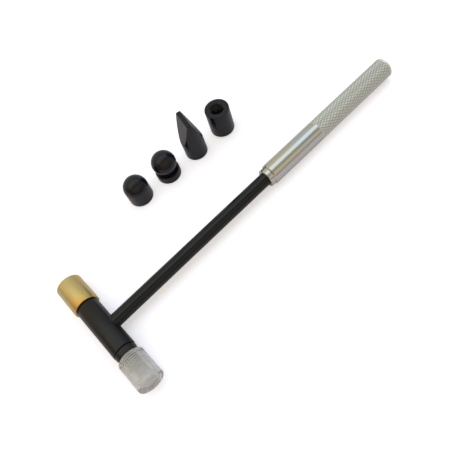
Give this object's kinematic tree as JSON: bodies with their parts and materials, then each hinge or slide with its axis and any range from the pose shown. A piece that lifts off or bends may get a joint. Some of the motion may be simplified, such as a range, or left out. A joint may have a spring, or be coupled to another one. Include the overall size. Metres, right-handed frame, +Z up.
{
  "type": "interchangeable head hammer",
  "caption": "Slim workshop hammer with screw-on brass and clear plastic heads, a knurled plated handle, and spare dome, ball, wedge and flat steel heads standing beside it.",
  "frame": {"origin": "middle of the whole set's footprint, on the surface that it lies on", "axes": "+X along the shaft from the head to the handle, +Y along the head towards the brass end, +Z up"},
  "size_m": [0.2342, 0.1032, 0.0318],
  "materials": {
    "black_oxide_steel": "black oxide, lightly oiled",
    "stud_steel": "plain threaded steel",
    "plated_steel": "bright zinc plate with a faint yellow and blue tint",
    "brass": "turned and polished",
    "clear_plastic": "clear moulded plastic with a frosted bore"
  },
  "bodies": {
    "hammer": {"head_barrel": "black_oxide_steel", "brass_end_stud": "stud_steel", "clear_end_spigot": "black_oxide_steel", "shaft": "black_oxide_steel", "handle": "plated_steel"},
    "brass_head": {"brass_head": "brass"},
    "clear_head": {"clear_head": "clear_plastic"},
    "dome_head": {"dome_head": "black_oxide_steel"},
    "ball_head": {"ball_head": "black_oxide_steel"},
    "wedge_head": {"wedge_head": "black_oxide_steel"},
    "flat_head": {"flat_head": "black_oxide_steel"}
  },
  "joints": [
    {"name": "brass_head_unscrew", "type": "slide", "parent": "hammer", "child": "brass_head", "axis": [0, 1, 0], "range_m": [0, 0.012]},
    {"name": "clear_head_unscrew", "type": "slide", "parent": "hammer", "child": "clear_head", "axis": [0, -1, 0], "range_m": [0, 0.012]},
    {"name": "dome_head_lift", "type": "slide", "parent": "hammer", "child": "dome_head", "axis": [0, 0, 1], "range_m": [0, 0.04]},
    {"name": "ball_head_lift", "type": "slide", "parent": "hammer", "child": "ball_head", "axis": [0, 0, 1], "range_m": [0, 0.04]},
    {"name": "wedge_head_lift", "type": "slide", "parent": "hammer", "child": "wedge_head", "axis": [0, 0, 1], "range_m": [0, 0.04]},
    {"name": "flat_head_lift", "type": "slide", "parent": "hammer", "child": "flat_head", "axis": [0, 0, 1], "range_m": [0, 0.04]}
  ]
}
